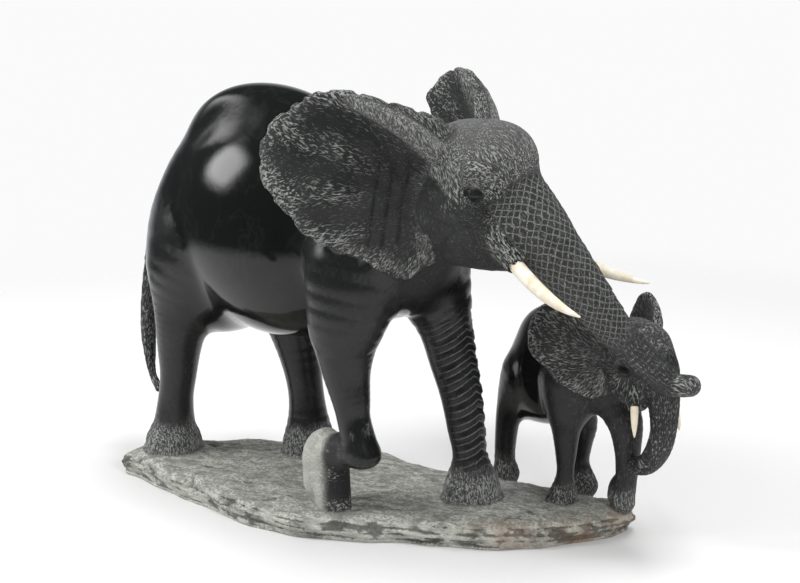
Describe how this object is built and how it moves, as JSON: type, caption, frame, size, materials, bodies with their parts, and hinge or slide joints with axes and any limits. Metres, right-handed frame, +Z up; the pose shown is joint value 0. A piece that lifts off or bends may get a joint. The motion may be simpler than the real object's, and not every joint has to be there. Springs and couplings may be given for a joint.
{
  "type": "elephant and calf sculpture",
  "caption": "Dark stone carving of a walking elephant with its trunk laid over a calf's forehead, on a rough slab, with pale inset tusks.",
  "frame": {"origin": "middle of the slab's flat underside", "axes": "+X the way the large animal walks, +Y her left, +Z up"},
  "size_m": [0.7085, 0.3421, 0.4809],
  "materials": {
    "stone": "dark serpentine, bodies polished, heads, ears, feet and slab left chiselled",
    "tusk": "ivory-coloured bone, smooth"
  },
  "bodies": {
    "root": {"carved_stone": "stone", "mother_tusk_right": "tusk", "mother_tusk_left": "tusk", "calf_tusk_right": "tusk", "calf_tusk_left": "tusk"}
  },
  "joints": []
}
